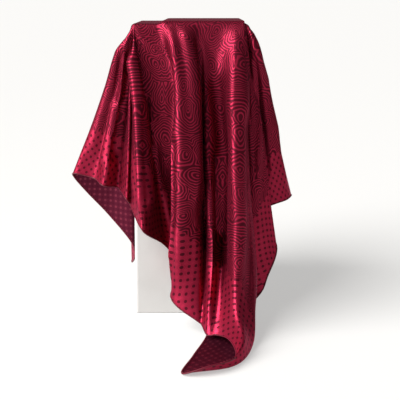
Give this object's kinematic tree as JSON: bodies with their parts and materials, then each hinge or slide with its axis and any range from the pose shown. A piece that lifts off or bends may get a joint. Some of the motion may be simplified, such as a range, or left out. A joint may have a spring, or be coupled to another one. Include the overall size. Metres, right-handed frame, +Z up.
{
  "type": "square scarf draped on a display plinth",
  "caption": "Large square satin scarf laid cornerwise over an upright white plinth, one corner trailing forward on to the floor.",
  "frame": {"origin": "centre of the plinth's foot, on the floor", "axes": "+Z up, -Y towards the corner of the scarf that trails forward on to the floor"},
  "size_m": [0.3419, 0.4879, 0.4555],
  "materials": {
    "scarf_satin": "satin jacquard, glossy, with a fine woven pattern",
    "plinth_paint": "matt white paint"
  },
  "bodies": {
    "root": {"scarf_cloth": "scarf_satin", "display_plinth": "plinth_paint"}
  },
  "joints": []
}
